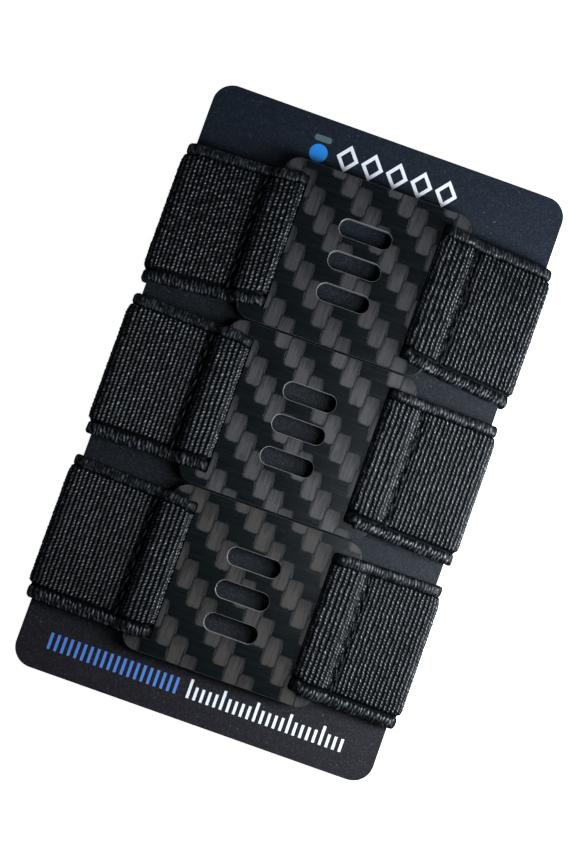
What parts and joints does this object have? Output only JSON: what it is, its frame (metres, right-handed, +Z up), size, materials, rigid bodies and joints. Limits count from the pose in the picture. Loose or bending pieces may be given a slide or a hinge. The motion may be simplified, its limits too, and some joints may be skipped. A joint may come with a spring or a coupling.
{
  "type": "minimalist wallet",
  "caption": "Elastic band wallets with slotted carbon fibre plates, carried on a stiff card: each band slides off, and its plate lifts against the elastic to take cards.",
  "frame": {"origin": "under the middle of the card, on the surface that the bands' backs lie on", "axes": "+X across the card to the right, +Y along the card to its top end, +Z up out of the carbon plates"},
  "size_m": [0.0566, 0.089, 0.0059],
  "materials": {
    "card_stock": "matt",
    "white_ink": "matt",
    "pale_blue_ink": "matt",
    "blue_ink": "matt",
    "grey_ink": "matt",
    "carbon_fibre": "satin",
    "elastic": "ribbed",
    "edge_thread": "whipped",
    "seam_thread": "matt"
  },
  "bodies": {
    "backing": {"card": "card_stock", "card_badge_upper": "grey_ink", "card_badge_lower": "blue_ink", "card_title_row": "white_ink", "card_scale_blue": "pale_blue_ink", "card_scale_white": "white_ink"},
    "band_top": {"top_strap": "elastic", "top_edge_upper": "edge_thread", "top_edge_lower": "edge_thread"},
    "front_top": {"top_plate": "carbon_fibre", "top_seam_left": "seam_thread", "top_seam_right": "seam_thread"},
    "band_middle": {"middle_strap": "elastic", "middle_edge_upper": "edge_thread", "middle_edge_lower": "edge_thread"},
    "front_middle": {"middle_plate": "carbon_fibre", "middle_seam_left": "seam_thread", "middle_seam_right": "seam_thread"},
    "band_bottom": {"bottom_strap": "elastic", "bottom_edge_upper": "edge_thread", "bottom_edge_lower": "edge_thread"},
    "front_bottom": {"bottom_plate": "carbon_fibre", "bottom_seam_left": "seam_thread", "bottom_seam_right": "seam_thread"}
  },
  "joints": [
    {"name": "middle_band_slide", "type": "slide", "parent": "backing", "child": "band_middle", "axis": [0, 1, 0], "range_m": [0, 0.058]},
    {"name": "top_band_slide", "type": "slide", "parent": "band_middle", "child": "band_top", "axis": [0, 1, 0], "range_m": [0, 0.033]},
    {"name": "bottom_band_slide", "type": "slide", "parent": "backing", "child": "band_bottom", "axis": [0, -1, 0], "range_m": [0, 0.033]},
    {"name": "top_plate_lift", "type": "slide", "parent": "band_top", "child": "front_top", "axis": [0, 0, 1], "range_m": [0, 0.006], "stiffness_N_per_m": 300, "springref_m": -0.003, "deforming": ["top_strap", "top_edge_upper", "top_edge_lower"]},
    {"name": "middle_plate_lift", "type": "slide", "parent": "band_middle", "child": "front_middle", "axis": [0, 0, 1], "range_m": [0, 0.006], "stiffness_N_per_m": 300, "springref_m": -0.003, "deforming": ["middle_strap", "middle_edge_upper", "middle_edge_lower"]},
    {"name": "bottom_plate_lift", "type": "slide", "parent": "band_bottom", "child": "front_bottom", "axis": [0, 0, 1], "range_m": [0, 0.006], "stiffness_N_per_m": 300, "springref_m": -0.003, "deforming": ["bottom_strap", "bottom_edge_upper", "bottom_edge_lower"]}
  ]
}
